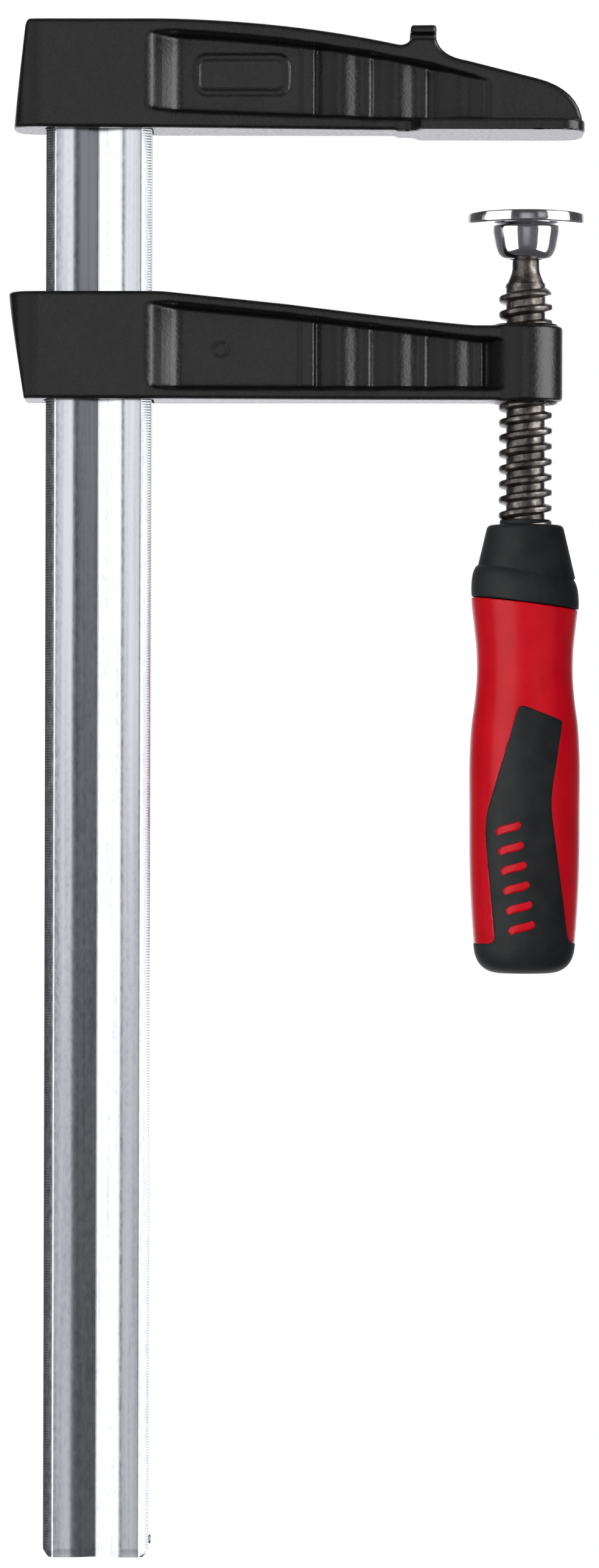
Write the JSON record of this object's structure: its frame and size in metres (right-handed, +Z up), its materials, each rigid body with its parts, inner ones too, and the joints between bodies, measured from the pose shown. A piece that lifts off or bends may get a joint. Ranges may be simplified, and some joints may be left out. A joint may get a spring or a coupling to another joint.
{
  "type": "f clamp",
  "caption": "F clamp with a profiled steel rail, a fixed cast jaw, a sliding cast arm and a screw spindle with a soft-grip handle and a swivelling pressure pad.",
  "frame": {"origin": "on the fixed jaw's clamping face, where the spindle axis meets it", "axes": "+Z up along the rail and the spindle, away from the pressure pad; +X from the rail towards the open end of the throat"},
  "size_m": [0.1484, 0.03, 0.3968],
  "materials": {
    "rail_steel": "drawn steel with fine lengthwise scratches, bright zinc",
    "cast_iron": "black-coated malleable casting, satin, with a fine sand texture",
    "spindle_steel": "rolled thread, darkened steel with polished crests",
    "pad_chrome": "turned and bright plated",
    "ring_steel": "spring wire",
    "red_plastic": "hard moulded plastic, semi-gloss",
    "soft_black": "soft overmoulded grip, matt to satin"
  },
  "bodies": {
    "frame": {"rail": "rail_steel", "rail_end_stop": "rail_steel", "fixed_jaw": "cast_iron"},
    "sliding_arm": {"sliding_arm": "cast_iron"},
    "pad_carrier": {"pad_snap_ring": "ring_steel"},
    "spindle": {"spindle": "spindle_steel", "handle_core": "red_plastic", "handle_collar": "soft_black", "handle_soft_grip": "soft_black"},
    "pad": {"pressure_pad": "pad_chrome"}
  },
  "joints": [
    {"name": "arm_slide", "type": "slide", "parent": "frame", "child": "sliding_arm", "axis": [0, 0, 1], "range_m": [-0.292, 0.003]},
    {"name": "spindle_travel", "type": "slide", "parent": "sliding_arm", "child": "pad_carrier", "axis": [0, 0, 1], "range_m": [-0.01401, 0.01201]},
    {"name": "spindle_turn", "type": "hinge", "parent": "pad_carrier", "child": "spindle", "pos_m": [0, 0, -0.027], "axis": [0, 0, 1], "range_deg": [-1260, 1080]},
    {"name": "pad_tilt", "type": "hinge", "parent": "pad_carrier", "child": "pad", "pos_m": [0, 0, -0.027], "axis": [0, 1, 0], "range_deg": [-8, 8]}
  ],
  "couplings": [
    {"joint": "spindle_travel", "follows": "spindle_turn", "m_per_rad": 0.00063662}
  ]
}
